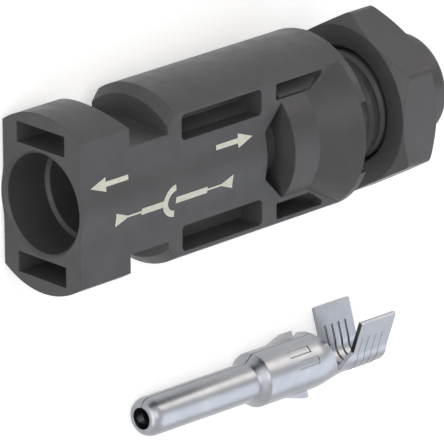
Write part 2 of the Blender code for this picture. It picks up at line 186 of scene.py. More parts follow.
# Crimp pin: rolled and folded from one sheet
SHEET = 0.5
PIN_R = 2.0
PIN_NOSE_LENGTH = 1.2
PIN_NOSE_DROP = 0.72
PIN_NOSE_HOLE_R = 1.12
PIN_LENGTH = 14.7
SHOULDER = 1.3
COLLAR_R = 2.82
COLLAR_LENGTH = 7.4
NECKING = 5.0
WING_LENGTH = 5.1
WING_TOP_Z = 3.8
WING_HALF_Y = 3.5
TROUGH_R = 2.3
TROUGH_DEPTH = 2.2
CUT_SETBACK = 1.0
CUT_SLANT = 1.8
CUT_FLOOR_Z = -1.0
CUT_FLOOR_LENGTH = 0.4
CUT_CORNER = 1.4
LANCE_SETBACK = 3.0
LANCE_LENGTH = 3.7
LANCE_WIDTH = 1.3
LANCE_LIFT = 0.6
LANCE_TIP = 0.6
LANCE_ANGLES = (62.0, 255.0)
PIN_SIDES = 120
SHOULDER_STEPS = 12
NECKING_STEPS = 18
NOSE_STEPS = 12
SEAM_WIDTH = 0.1
STAMP_X = 19.4
STAMP_LENGTH = 3.0
STAMP_HALF = 0.42
STAMP_WIDTH = 0.13
STAMP_DEPTH = 0.14
STAMP_ANGLES = (129.0, 157.0)
STAMP_SHIFT = 0.7
SERRATIONS = 4
SERRATION_PITCH = 1.0
SERRATION_WIDTH = 0.26
SERRATION_DEPTH = 0.14
SERRATION_RELIEF = 0.05
SERRATION_SETBACK = 0.75
SERRATION_TOP_Z = 1.85

# How far behind the mating face the tip of a fitted pin sits
PIN_SEAT_X = 3.0

# Print on the upper flat side
PRINT_LIFT = 0.012
PRINT_THICKNESS = 0.02
PRINT_STEP = 0.15
ARROW_Y = 2.5
ARROW_LEFT_X = 1.4
ARROW_RIGHT_X = 22.65
ARROW_LENGTH = 4.85
ARROW_HEAD = 1.95
ARROW_HALF = 0.72
ARROW_SHAFT = 0.25
SYMBOL_Y = -1.35
SYMBOL_ARC_X = 12.3
SYMBOL_ARC_R = 1.68
SYMBOL_ARC_WIDTH = 0.62
SYMBOL_ARC_ANGLES = (95, 265)
SYMBOL_ARC_STEPS = 24
SYMBOL_HUG_STEPS = 3
SYMBOL_LINE = 0.33
SYMBOL_THIN = 0.1
SYMBOL_GAP = 0.01
LEFT_MARK_X = 4.45
LEFT_BAR_X = 7.8
RIGHT_BAR_X = 16.42
RIGHT_MARK_X = 19.8
TRIANGLE_LENGTH = 1.78
TRIANGLE_HALF = 0.71

# Places in the coupler that follow from the sizes above
NOTCH_X1 = NOTCH_X0 + NOTCH_LENGTH
NOTCH_FLOOR_Y = TUBE_R - NOTCH_SINK
NOTCH_STEP_R = CROWN_R - NOTCH_STEP
SLOT_TOP_Y = CROWN_R - SLOT_ROOF
LEAN_Y = CROWN_R - LEAN_DEPTH
POCKET_Y1 = CROWN_R - POCKET_ROOF
POCKET_Y0 = POCKET_Y1 - POCKET_WIDTH
REAR_POCKET_Y0 = POCKET_Y1 - REAR_POCKET_WIDTH
NECK_END_X = RIM_X + NECK_LENGTH
NUT_X = RIM_X + NUT_STANDOFF
HEX_END_X = NUT_X + HEX_LENGTH
NUT_END_X = HEX_END_X + NOSE_LENGTH
CAGE_SEAT_X = NUT_X + NUT_BORE_DEPTH
CONE_END_X = CAGE_SEAT_X + CONE_LENGTH
ACROSS_FLATS = 2 * (CROWN_R - NUT_FLAT_DROP)
NECK_R = CROWN_R - RIM_STEP
NUT_BORE_R = NECK_R + GAP
NECK_BORE_R = NECK_R - NECK_WALL
CAGE_R = NECK_BORE_R - GAP
CONE_R = CAGE_R + CONE_LIP
CABLE_HOLE_R = CONE_R - CONE_RISE
NOSE_R = CABLE_HOLE_R + NOSE_WALL
CAGE_X = CAGE_SEAT_X - CAGE_FRONT
CAGE_TAIL_X = CONE_END_X - CAGE_TAIL_SETBACK
CAGE_LIP_X = CAGE_TAIL_X - CAGE_LIP_LENGTH
CAGE_INNER_R = CAGE_R - CAGE_WALL
CAGE_LIP_R = CAGE_INNER_R - CAGE_LIP
SEAL_R = CAGE_INNER_R - GAP
SEAL_HOLE_R = SEAL_R - SEAL_WALL

# Stations along the pin, and the web of the housing that it snaps into
COLLAR_X = PIN_LENGTH + SHOULDER
COLLAR_END_X = COLLAR_X + COLLAR_LENGTH
WING_X = COLLAR_END_X + NECKING
LANCE_X = COLLAR_X + LANCE_SETBACK
LANCE_END_X = LANCE_X + LANCE_LENGTH
PIN_HOLE_R = COLLAR_R + GAP
CATCH_R = COLLAR_R + LANCE_LIFT + GAP
CORE_R = CATCH_R + CORE_WALL
CATCH_X0 = PIN_SEAT_X + LANCE_X
CATCH_X1 = PIN_SEAT_X + LANCE_END_X + GAP

# Where the loose pin lies beside the coupler
PIN_X = 18.15
PIN_Y = -28.35
PIN_YAW = math.radians(-2.1)

# Camera fitted to the photograph, in the coupler's frame
CAMERA_AZIMUTH = math.radians(44.21)
CAMERA_ELEVATION = math.radians(20.23)
CAMERA_ROLL = math.radians(-0.32)
CAMERA_DISTANCE = 570.51
CAMERA_LENS = 492.2
CAMERA_CLIP = 0.01
SENSOR = 36.0
PHOTO_SIZE = 444.0
MATING_FACE_PIXEL = (41.4, 204.5)

# Lamps: name, place in the row frame in metres, side in metres, power in watts, and colour
LAMPS = (
    ("key", (-0.14, 0.14, 0.36), 0.26, 0.36, (1.0, 0.99, 0.98)),
    ("back", (0.34, -0.18, 0.35), 0.4, 0.6, (0.82, 0.88, 1.0)),
    ("side", (0.35, 0.4, 0.14), 0.4, 0.16, (1.0, 0.84, 0.7)),
    ("side_high", (0.35, 0.32, 0.25), 0.24, 0.34, (1.0, 0.91, 0.82)),
    ("front", (-0.42, -0.06, 0.16), 0.4, 0.65, (1.0, 1.0, 1.0)),
    ("front_low", (-0.4, 0.16, 0.1), 0.4, 0.6, (1.0, 1.0, 1.0)),
)
WHITE = (1.0, 1.0, 1.0, 1.0)
WORLD_STRENGTH = 0.22

# White table top; its half width is in metres
FLOOR_HALF = 1.5
FLOOR_GLOW = 0.55
FLOOR_COLOUR = (0.86, 0.86, 0.86, 1.0)
FLOOR_ROUGH = 0.9
FLOOR_SPECULAR = 0.1

# Darkest and lightest tone of each finish
BLACK_TONES = ((0.064, 0.063, 0.065), (0.078, 0.077, 0.079))
NUT_TONES = ((0.07, 0.069, 0.071), (0.086, 0.085, 0.087))
CAGE_TONES = ((0.45, 0.45, 0.44), (0.55, 0.55, 0.53))
INK_TONES = ((0.72, 0.7, 0.6), (0.83, 0.82, 0.72))
RUBBER_TONES = ((0.022, 0.022, 0.023), (0.036, 0.036, 0.037))
TIN_TONES = ((0.3, 0.31, 0.335), (0.34, 0.35, 0.37))

# Roughness, and how far a plastic's own varies below and above it
BLACK_ROUGH = 0.4
NUT_ROUGH = 0.38
CAGE_ROUGH = 0.42
ROUGH_SPREAD = (0.05, 0.07)
INK_ROUGH = 0.55
RUBBER_ROUGH = 0.72
TIN_ROUGH = (0.29, 0.35)
PLASTIC_SPECULAR = 0.3

# Noise: features per metre and detail; a ramp spreads the values between its two stops
CLOUD_NOISE = (260.0, 4.0)
GLOSS_NOISE = (900.0, 3.0)
GRAIN_NOISE = (9000.0, 3.0)
WAVE_NOISE = (350.0, 1.0)
INK_NOISE = (2500.0, 4.0)
INK_GRAIN_NOISE = (9000.0, 2.0)
RUBBER_NOISE = (700.0, 3.0)
RUBBER_GRAIN_NOISE = (6000.0, 3.0)
TIN_NOISE = (400.0, 3.0)
DRAWN_NOISE = (4000.0, 2.0)
DRAWN_STRETCH = (0.03, 1.0, 1.0)
RAMP_STOPS = (0.3, 0.7)

# Bump: strength and height in metres
GRAIN_BUMP = (0.35, 0.00001)
WAVE_BUMP = (0.12, 0.00004)
INK_BUMP = (0.3, 0.00001)
RUBBER_BUMP = (0.5, 0.00001)
DRAWN_BUMP = (0.08, 0.000004)

# Radius, in metres, over which the shading softens sharp edges
MOULDED_EDGE = 0.00013
TIN_EDGE = 0.00008
EDGE_SAMPLES = 6


def coupler_matrix():
    """Coupler's frame in millimetres to row frame in metres, read off the nut's joint."""
    joint = next(item for item in frame["joints"] if item["name"] == "nut_turn")
    along = Vector(joint["axis"]).normalized()
    across = Vector((0, 1, 0))
    out = along.cross(across)
    turn = Matrix((along, across, out)).transposed().to_4x4()
    nut = Vector(joint["pos_m"])
    return Matrix.Translation(nut - along * NUT_X * MM) @ turn @ Matrix.Scale(MM, 4)


COUPLER = coupler_matrix()


def pin_matrix():
    """From the pin's frame in millimetres to the row frame in metres, as it lies on the floor."""
    run = COLLAR_X - PIN_NOSE_LENGTH
    pitch = math.asin((COLLAR_R - PIN_R) / run)
    tip_z = PIN_R / math.cos(pitch) - PIN_NOSE_LENGTH * math.tan(pitch)
    wing_z = tip_z + WING_X * math.tan(pitch)
    reach = math.hypot(WING_HALF_Y, WING_TOP_Z)
    roll = math.asin(wing_z * math.cos(pitch) / reach) - math.atan2(WING_HALF_Y, WING_TOP_Z)
    turn = (Matrix.Rotation(PIN_YAW, 4, "Z") @ Matrix.Rotation(-pitch, 4, "Y")
            @ Matrix.Rotation(-math.pi / 2 - roll, 4, "X"))
    mouth = COUPLER.translation
    place = Vector((mouth.x + PIN_X * MM, mouth.y + PIN_Y * MM, tip_z * MM))
    return Matrix.Translation(place) @ turn @ Matrix.Scale(MM, 4)


def linked(name, data):
    """New object in the scene."""
    made = bpy.data.objects.new(name, data)
    bpy.context.scene.collection.objects.link(made)
    return made


def solid(name, bm):
    """Make a bmesh in millimetres into an object, faces outward."""
    bmesh.ops.remove_doubles(bm, verts=bm.verts, dist=WELD)
    bmesh.ops.recalc_face_normals(bm, faces=bm.faces)
    mesh = bpy.data.meshes.new(name)
    bm.to_mesh(mesh)
    bm.free()
    return linked(name, mesh)


def turned(name, profile, closed=False):
    """Spin (x, radius) points about the X axis; an open profile is closed on the axis."""
    bm = bmesh.new()
    points = list(profile)
    if not closed:
        points = [(points[0][0], 0.0), *points, (points[-1][0], 0.0)]
    verts = [bm.verts.new((x, 0.0, radius)) for x, radius in points]
    edges = [bm.edges.new(pair) for pair in zip(verts, verts[1:])]
    if closed:
        edges.append(bm.edges.new((verts[-1], verts[0])))
    bmesh.ops.spin(bm, geom=verts + edges, cent=(0, 0, 0), axis=(1, 0, 0),
                   angle=math.tau, steps=SIDES, use_merge=True)
    return solid(name, bm)


def prism(name, outline, axis, start, end):
    """Extrude an outline along X or Z; the outline is (y, z) points for X and (x, y) for Z."""
    bm = bmesh.new()
    if axis == "X":
        corners = [(start, a, b) for a, b in outline]
        travel = Vector((end - start, 0, 0))
    else:
        corners = [(a, b, start) for a, b in outline]
        travel = Vector((0, 0, end - start))
    face = bm.faces.new([bm.verts.new(corner) for corner in corners])
    grown = bmesh.ops.extrude_face_region(bm, geom=[face])
    moved = [item for item in grown["geom"] if isinstance(item, bmesh.types.BMVert)]
    bmesh.ops.translate(bm, verts=moved, vec=travel)
    return solid(name, bm)


def block(name, low, high):
    """Box between two corners."""
    outline = [(low[0], low[1]), (high[0], low[1]), (high[0], high[1]), (low[0], high[1])]
    return prism(name, outline, "Z", low[2], high[2])


def skin(bm, rings):
    """Join each ring of vertices to the next one with quads."""
    for back, front in zip(rings, rings[1:]):
        for i in range(len(back)):
            j = (i + 1) % len(back)
            bm.faces.new((back[i], back[j], front[j], front[i]))


def combine(target, tool, operation="DIFFERENCE"):
    """Add a Boolean modifier to target, parented so that finish_piece can clear the tool."""
    step = target.modifiers.new(tool.name, "BOOLEAN")
    step.operation = operation
    step.solver = "EXACT"
    step.object = tool
    tool.parent = target


def arc(centre, radius, start, end, steps):
    """Points on an arc, angles in degrees."""
    angles = [math.radians(start + (end - start) * i / steps) for i in range(steps + 1)]
    return [(centre[0] + radius * math.cos(a), centre[1] + radius * math.sin(a)) for a in angles]


def ease(share):
    """Smooth step from 0 to 1."""
    return share * share * (3 - 2 * share)


def finish_piece(rough, name, matrix, finish, body, node=None):
    """Apply the Booleans, tidy and place the mesh, shade it and hang it on its body."""
    bpy.context.view_layer.update()
    graph = bpy.context.evaluated_depsgraph_get()
    mesh = bpy.data.meshes.new_from_object(rough.evaluated_get(graph), depsgraph=graph)
    for tool in [*rough.children_recursive, rough]:
        bpy.data.objects.remove(tool)
    bm = bmesh.new()
    bm.from_mesh(mesh)
    bmesh.ops.remove_doubles(bm, verts=bm.verts, dist=MERGE)
    bmesh.ops.dissolve_limit(bm, angle_limit=LEVEL, verts=bm.verts, edges=bm.edges)
    bmesh.ops.triangulate(bm, faces=bm.faces[:])
    bm.transform(matrix)
    bm.to_mesh(mesh)
    bm.free()
    mesh.shade_smooth()
    mesh.set_sharp_from_angle(angle=SHARP)
    mesh.materials.clear()
    mesh.materials.append(finish)
    made = linked(name, mesh)
    shading = made.modifiers.new("shading", "WEIGHTED_NORMAL")
    shading.keep_sharp = True
    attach(made, body)
    if node:
        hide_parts(node)


def rounded(outline, radius):
    """Convex outline, listed anticlockwise, with every corner replaced by an arc."""
    points = []
    for i, corner in enumerate(outline):
        here = Vector(corner)
        back = (Vector(outline[i - 1]) - here).normalized()
        ahead = (Vector(outline[(i + 1) % len(outline)]) - here).normalized()
        half = back.angle(ahead) / 2
        centre = here + (back + ahead).normalized() * radius / math.sin(half)
        first = here + back * radius / math.tan(half) - centre
        start = math.degrees(math.atan2(first.y, first.x))
        points += arc(centre, radius, start, start + 180 - math.degrees(2 * half), CORNER_STEPS)
    return points


def mirrored(outline, side):
    """The outline on the +Y side, or its mirror image on the -Y side."""
    return [(x, side * y) for x, y in outline]


def body_outline():
    """Section of the body: two round crowns joined by two flats."""
    reach = math.degrees(math.asin(FLAT_Z / CROWN_R))
    return (arc((0, 0), CROWN_R, -reach, reach, CROWN_STEPS)
            + arc((0, 0), CROWN_R, 180 - reach, 180 + reach, CROWN_STEPS))


def flat_height(y):
    """Height of the flat side at y, from the tube's bulge through the blend to the flat."""
    near = abs(y)
    if near <= BLEND_Y0:
        return math.sqrt(TUBE_R ** 2 - y * y)
    share = min(1.0, (near - BLEND_Y0) / (BLEND_Y1 - BLEND_Y0))
    crest = math.sqrt(TUBE_R ** 2 - BLEND_Y0 ** 2)
    fall = -BLEND_Y0 / crest * (BLEND_Y1 - BLEND_Y0)
    return crest + (FLAT_Z - crest) * ease(share) + fall * share * (1 - share) ** 2


def tube_outline():
    """Section of the mating tube with the blends that run out into both flat sides."""
    blend = [BLEND_Y0 + (BLEND_Y1 - BLEND_Y0) * i / BLEND_STEPS for i in range(BLEND_STEPS + 1)]
    inner = [BLEND_Y0 * i / BLEND_STEPS for i in range(BLEND_STEPS)]
    half = [(y, flat_height(y)) for y in inner + blend]
    upper = [(-y, z) for y, z in reversed(half[1:])] + half
    lower = [(y, -z) for y, z in reversed(upper)]
    reach = math.degrees(math.acos(BLEND_Y1 / TUBE_R))
    return (upper + arc((0, 0), TUBE_R, reach, -reach, TUBE_STEPS)
            + lower + arc((0, 0), TUBE_R, 180 + reach, 180 - reach, TUBE_STEPS))


def cut_notch(housing, side):
    """Notch for the latch behind the front block, on one crown."""
    top = CROWN_R + REACH
    lean = LEAN * (top - LEAN_Y) / LEAN_DEPTH
    notch = [(NOTCH_X0, NOTCH_FLOOR_Y), (NOTCH_X1, NOTCH_FLOOR_Y), (NOTCH_X1, top),
             (NOTCH_X0 - lean, top), (NOTCH_X0, LEAN_Y)]
    combine(housing, prism(f"notch_{side}", mirrored(notch, side), "Z", -CROWN_R, CROWN_R))


def cut_slot(housing, side):
    """Latch slot through the front block, level with the floor of the notch."""
    floor_y = NOTCH_FLOOR_Y + SLOT_LIFT
    slot = [(-REACH, floor_y), (NOTCH_X0, floor_y), (NOTCH_X0, SLOT_TOP_Y), (-REACH, SLOT_TOP_Y)]
    combine(housing, prism(f"slot_{side}", mirrored(slot, side), "Z", -SLOT_HALF_Z, SLOT_HALF_Z))


def cut_pockets(housing, side, face):
    """Front and rear moulding pockets on one half of one flat side."""
    top = face * (FLAT_Z + REACH)
    floor = face * POCKET_FLOOR_Z
    front = rounded([(POCKET_X0, POCKET_Y0), (POCKET_X1, POCKET_Y0),
                     (POCKET_X1, POCKET_Y1), (POCKET_X0, POCKET_Y1)], POCKET_CORNER)
    combine(housing, prism(f"pocket_{side}_{face}", mirrored(front, side), "Z", floor, top))
    slant_x = REAR_POCKET_X1 - REAR_POCKET_SLANT
    rear = rounded([(REAR_POCKET_X0, REAR_POCKET_Y0), (slant_x, REAR_POCKET_Y0),
                    (REAR_POCKET_X1, POCKET_Y1 - REAR_POCKET_EDGE), (REAR_POCKET_X1, POCKET_Y1),
                    (REAR_POCKET_X0, POCKET_Y1)], REAR_POCKET_CORNER)
    combine(housing, prism(f"rear_pocket_{side}_{face}", mirrored(rear, side), "Z", floor, top))


def cut_window(housing, face):
    """Gap in one flat side between the end of the mating tube and the gland socket."""
    nose_x = WINDOW_X1 - WINDOW_DIP
    outline = [(WINDOW_X1 + REACH, -WINDOW_HALF_Y), (WINDOW_X1 + REACH, WINDOW_HALF_Y),
               (WINDOW_X1, WINDOW_HALF_Y), (nose_x, WINDOW_NOSE_Y), (nose_x, -WINDOW_NOSE_Y),
               (WINDOW_X1, -WINDOW_HALF_Y)]
    combine(housing, prism(f"window_{face}", outline, "Z", face * WINDOW_FLOOR_Z,
                           face * (FLAT_Z + REACH)))


def bore_profile():
    """Inside of the housing: mating bore, the web that holds the pin, and the gland's bore."""
    step_r = BORE_R - BORE_STEP
    return [(-REACH, BORE_R + BORE_MOUTH + REACH), (BORE_MOUTH, BORE_R),
            (BORE_STEP_X, BORE_R), (BORE_STEP_X + BORE_STEP, step_r),
            (BORE_END_X, step_r), (BORE_END_X, PIN_HOLE_R),
            (CATCH_X0, PIN_HOLE_R), (CATCH_X0, CATCH_R),
            (CATCH_X1, CATCH_R), (CATCH_X1, PIN_HOLE_R),
            (WEB_END_X, PIN_HOLE_R), (WEB_END_X, NECK_BORE_R), (NECK_END_X + REACH, NECK_BORE_R)]


def make_housing(finish):
    """Insulating housing, one moulding from the mating face to the neck."""
    housing = prism("rough_housing", body_outline(), "X", -REACH, (FLARE_X1 + RIM_X) / 2)
    lift = CROWN_R + REACH - NOTCH_STEP_R
    combine(housing, turned("notch_ramp", [(NOTCH_X1 - REACH, NOTCH_STEP_R),
                                           (NOTCH_X1, NOTCH_STEP_R),
                                           (NOTCH_X1 + lift, NOTCH_STEP_R + lift),
                                           (NOTCH_X1 - REACH, NOTCH_STEP_R + lift)],
                            closed=True))
    for side in (1, -1):
        cut_notch(housing, side)
        for face in (1, -1):
            cut_pockets(housing, side, face)
    for face in (1, -1):
        cut_window(housing, face)
    combine(housing, prism("tube", tube_outline(), "X", -REACH, TUBE_END_X), "UNION")
    combine(housing, turned("core", [(TUBE_END_X - REACH, CORE_R), (FLARE_X0, CORE_R)]), "UNION")
    rim_r = CROWN_R + FLARE_PROUD
    combine(housing, turned("flare", [(WINDOW_X1, SOCKET_R), (FLARE_X0, SOCKET_R),
                                      (FLARE_X1, rim_r), (RIM_X, rim_r)]), "UNION")
    wide = CROWN_R + REACH
    combine(housing, block("face_trim", (-2 * REACH, -wide, -wide), (0, wide, wide)))
    for side in (1, -1):
        cut_slot(housing, side)
    recess = block("rim_recess", (RIM_X - RIM_RECESS_DEPTH, -RIM_RECESS_HALF_Y, -CROWN_R - REACH),
                   (RIM_X + REACH, RIM_RECESS_HALF_Y, CROWN_R + REACH))
    combine(housing, recess)
    root_r = NECK_R - THREAD_DEPTH
    combine(housing, turned("neck", [(FLARE_X1 - REACH, root_r), (NECK_END_X, root_r)]), "UNION")
    combine(housing, turned("bore", bore_profile()))
    finish_piece(housing, "housing_body", COUPLER, finish,
                 "coupler", "housing")


def helix_tube(name, x0, x1, plain_r, root_r, crest, phase):
    """Closed sleeve with a helical thread on its root_r side; crest is negative inward."""
    bm = bmesh.new()
    angles = [math.tau * j / THREAD_SIDES for j in range(THREAD_SIDES)]

    def ring(x, radii):
        return [bm.verts.new((x, radius * math.cos(angle), -radius * math.sin(angle)))
                for radius, angle in zip(radii, angles)]

    rings = []
    steps = round((x1 - x0) / THREAD_PITCH * THREAD_STEPS)
    for i in range(steps + 1):
        x = x0 + (x1 - x0) * i / steps
        fade = ease(min(1.0, (x - x0) / THREAD_RUNOUT, (x1 - x) / THREAD_RUNOUT))
        radii = []
        for j in range(THREAD_SIDES):
            wave = ((x - phase) / THREAD_PITCH + j / THREAD_SIDES) % 1.0
            ridge = max(0.0, min(1.0, THREAD_CREST - THREAD_SLOPE * abs(wave - 0.5)))
            radii.append(root_r + crest * ridge * fade)
        rings.append(ring(x, radii))
    rings += [ring(x, [plain_r] * THREAD_SIDES) for x in (x1, x0)]
    skin(bm, rings + rings[:1])
    return solid(name, bm)


def make_thread(finish):
    """Thread on the neck, a ridge wound round the housing's plain core."""
    root_r = NECK_R - THREAD_DEPTH
    thread = helix_tube("rough_thread", RIM_X - THREAD_SEAT, NECK_END_X, root_r - THREAD_SEAT,
                        root_r, THREAD_DEPTH, RIM_X)
    finish_piece(thread, "neck_thread", COUPLER, finish, "coupler")


def hex_outline():
    """Hexagon with round corners, flats facing +Z and -Z."""
    corner_reach = (ACROSS_FLATS / 2 - NUT_CORNER_R) / math.cos(math.radians(30))
    points = []
    for turn in range(0, 360, 60):
        centre = (corner_reach * math.cos(math.radians(turn)),
                  corner_reach * math.sin(math.radians(turn)))
        points += arc(centre, NUT_CORNER_R, turn - 30, turn + 30, CORNER_STEPS)
    return points


def nut_profile():
    """Turned outside of the nut: chamfered hexagon, domed back and round nose."""
    half = ACROSS_FLATS / 2 - NUT_FACE_INSET
    outer = half + NUT_CHAMFER_RISE
    back_x = HEX_END_X + NUT_BACK_DEPTH
    tip_r = NOSE_R - NOSE_TAPER
    return [(NUT_X, half), (NUT_X + NUT_CHAMFER_LENGTH, outer),
            (HEX_END_X - NUT_CHAMFER_LENGTH, outer), (HEX_END_X, half),
            (HEX_END_X + NUT_BACK_DEPTH / 2, half - NUT_BACK_DOME),
            *arc((back_x + NOSE_FILLET, NOSE_R + NOSE_FILLET), NOSE_FILLET, 180, 270,
                 CORNER_STEPS),
            *arc((NUT_END_X - NOSE_EDGE, tip_r - NOSE_EDGE), NOSE_EDGE, 90, 0, CORNER_STEPS)]


def make_nut(finish):
    """Gland nut: hexagon and nose outside, a threaded bore that ends in a cone inside."""
    nut = prism("rough_nut", hex_outline(), "X", NUT_X, NUT_END_X)
    combine(nut, turned("nut_shape", nut_profile()), "INTERSECT")
    combine(nut, turned("nut_bore", [(NUT_X - REACH, NUT_BORE_R + NUT_MOUTH + REACH),
                                     (NUT_X + NUT_MOUTH, NUT_BORE_R),
                                     (CAGE_SEAT_X, NUT_BORE_R), (CAGE_SEAT_X, CONE_R),
                                     (CONE_END_X, CABLE_HOLE_R),
                                     (NUT_END_X + REACH, CABLE_HOLE_R)]))
    finish_piece(nut, "gland_nut_body", COUPLER, finish, "nut", "gland_nut")


def make_nut_thread(finish):
    """Thread in the nut's bore, half a pitch out of step with the neck's so that they mesh."""
    thread = helix_tube("rough_nut_thread", NUT_X + NUT_MOUTH, CAGE_SEAT_X,
                        NUT_BORE_R + THREAD_SEAT, NUT_BORE_R - THREAD_PROUD,
                        -THREAD_DEPTH, RIM_X + THREAD_PITCH / 2)
    finish_piece(thread, "nut_thread", COUPLER, finish, "nut")


def make_cage(finish):
    """Clamp cage: a sleeve with fingers towards the front and a tapered tail in the cone."""
    slope = CONE_RISE / CONE_LENGTH
    clearance = GAP / math.cos(math.atan(slope))
    taper_x = CAGE_SEAT_X + (CONE_R - clearance - CAGE_R) / slope
    tail_r = CAGE_R - slope * (CAGE_TAIL_X - taper_x)
    cage = turned("rough_cage", [(CAGE_X, CAGE_INNER_R), (CAGE_X, CAGE_R - CAGE_EDGE),
                                 (CAGE_X + CAGE_EDGE, CAGE_R), (taper_x, CAGE_R),
                                 (CAGE_TAIL_X, tail_r), (CAGE_TAIL_X, CAGE_LIP_R),
                                 (CAGE_LIP_X, CAGE_LIP_R), (CAGE_LIP_X, CAGE_INNER_R)],
                  closed=True)
    for i in range(FINGER_PAIRS):
        slit = block(f"finger_slot_{i}", (CAGE_X - REACH, -CAGE_R - REACH, -FINGER_SLOT / 2),
                     (CAGE_X + FINGER_LENGTH, CAGE_R + REACH, FINGER_SLOT / 2))
        slit.rotation_euler = (math.pi * i / FINGER_PAIRS, 0, 0)
        combine(cage, slit)
    finish_piece(cage, "clamp_cage_body", COUPLER, finish, "cage", "clamp_cage")


def make_seal(finish):
    """Rubber seal with ribs round the outside, held inside the cage."""
    first = CAGE_X + GAP
    last = CAGE_LIP_X - GAP
    pitch = (last - first) / SEAL_RIBS
    profile = []
    for i in range(SEAL_RIBS):
        x = first + i * pitch
        rib_end = x + pitch * SEAL_RIB_SHARE
        profile += [(x, SEAL_R), (rib_end, SEAL_R),
                    (rib_end, SEAL_R - SEAL_GROOVE), (x + pitch, SEAL_R - SEAL_GROOVE)]
    seal = turned("rough_seal", [*profile, (last, SEAL_HOLE_R), (first, SEAL_HOLE_R)], closed=True)
    finish_piece(seal, "cable_seal_body", COUPLER, finish, "cage", "cable_seal")


def wing_section(angle, inset):
    """Reach of the folded wings' section from the pin's axis, at an angle from +Y."""
    across = abs(math.cos(angle))
    up = math.sin(angle)
    if up < 0:
        wide = TROUGH_R - inset
        deep = TROUGH_DEPTH - inset
        return wide * deep / math.hypot(deep * across, wide * up)
    top = WING_TOP_Z + (REACH if inset else 0.0)
    splay = (WING_HALF_Y - TROUGH_R) / WING_TOP_Z
    wall = across - splay * up
    limits = [math.hypot(WING_HALF_Y - inset + splay * (top - WING_TOP_Z), top)]
    if up > 0:
        limits.append(top / up)
    if wall > 0:
        limits.append((TROUGH_R - inset) / wall)
    return min(limits)


def pin_stations(inset):
    """(x, round radius, share of the wings' section) along the pin, from tip to wings."""
    if inset:
        stations = [(-REACH, PIN_NOSE_HOLE_R), (SHEET, PIN_NOSE_HOLE_R),
                    (PIN_NOSE_LENGTH + SHEET, PIN_R - inset)]
    else:
        turns = [math.pi / 2 * i / NOSE_STEPS for i in range(NOSE_STEPS + 1)]
        stations = [(PIN_NOSE_LENGTH * (1 - math.cos(turn)),
                     PIN_R - PIN_NOSE_DROP * (1 - math.sin(turn))) for turn in turns]
    for i in range(SHOULDER_STEPS + 1):
        share = i / SHOULDER_STEPS
        stations.append((PIN_LENGTH + SHOULDER * share,
                         PIN_R + (COLLAR_R - PIN_R) * ease(share) - inset))
    listed = [(x, radius, 0.0) for x, radius in stations]
    for i in range(NECKING_STEPS + 1):
        share = i / NECKING_STEPS
        listed.append((COLLAR_END_X + NECKING * share, COLLAR_R - inset, ease(share)))
    end = WING_X + WING_LENGTH + (REACH if inset else 0.0)
    listed.append((end, COLLAR_R - inset, 1.0))
    return listed


def pin_loft(name, inset):
    """Loft of the pin's outer or inner surface as one closed solid."""
    bm = bmesh.new()
    rings = []
    for x, radius, share in pin_stations(inset):
        ring = []
        for i in range(PIN_SIDES):
            angle = math.tau * (i + 0.5) / PIN_SIDES
            reach = radius + share * (wing_section(angle, inset) - radius)
            ring.append(bm.verts.new((x, reach * math.cos(angle), reach * math.sin(angle))))
        rings.append(ring)
    skin(bm, rings)
    bm.faces.new(rings[0])
    bm.faces.new(rings[-1])
    return solid(name, bm)


def stamp_tab(pin, name, start, turn):
    """Press a shallow groove round three sides of a tab in the collar."""
    end = start + STAMP_LENGTH
    inner = STAMP_HALF - STAMP_WIDTH
    outline = [(start, -STAMP_HALF), (end, -STAMP_HALF), (end, STAMP_HALF), (start, STAMP_HALF),
               (start, inner), (end - STAMP_WIDTH, inner), (end - STAMP_WIDTH, -inner),
               (start, -inner)]
    groove = prism(name, outline, "Z", COLLAR_R - STAMP_DEPTH, COLLAR_R + REACH)
    groove.rotation_euler = (math.radians(turn - 90), 0, 0)
    combine(pin, groove)


def wing_bands(name, inset):
    """Bands across the wings, as deep as the loft at that inset, one per serration."""
    for i in range(SERRATIONS):
        x = WING_X + SERRATION_SETBACK + i * SERRATION_PITCH
        band = pin_loft(f"{name}_{i}", inset)
        combine(band, block(f"{name}_limit_{i}", (x, -COLLAR_R - REACH, -COLLAR_R - REACH),
                            (x + SERRATION_WIDTH, COLLAR_R + REACH, SERRATION_TOP_Z)), "INTERSECT")
        yield band


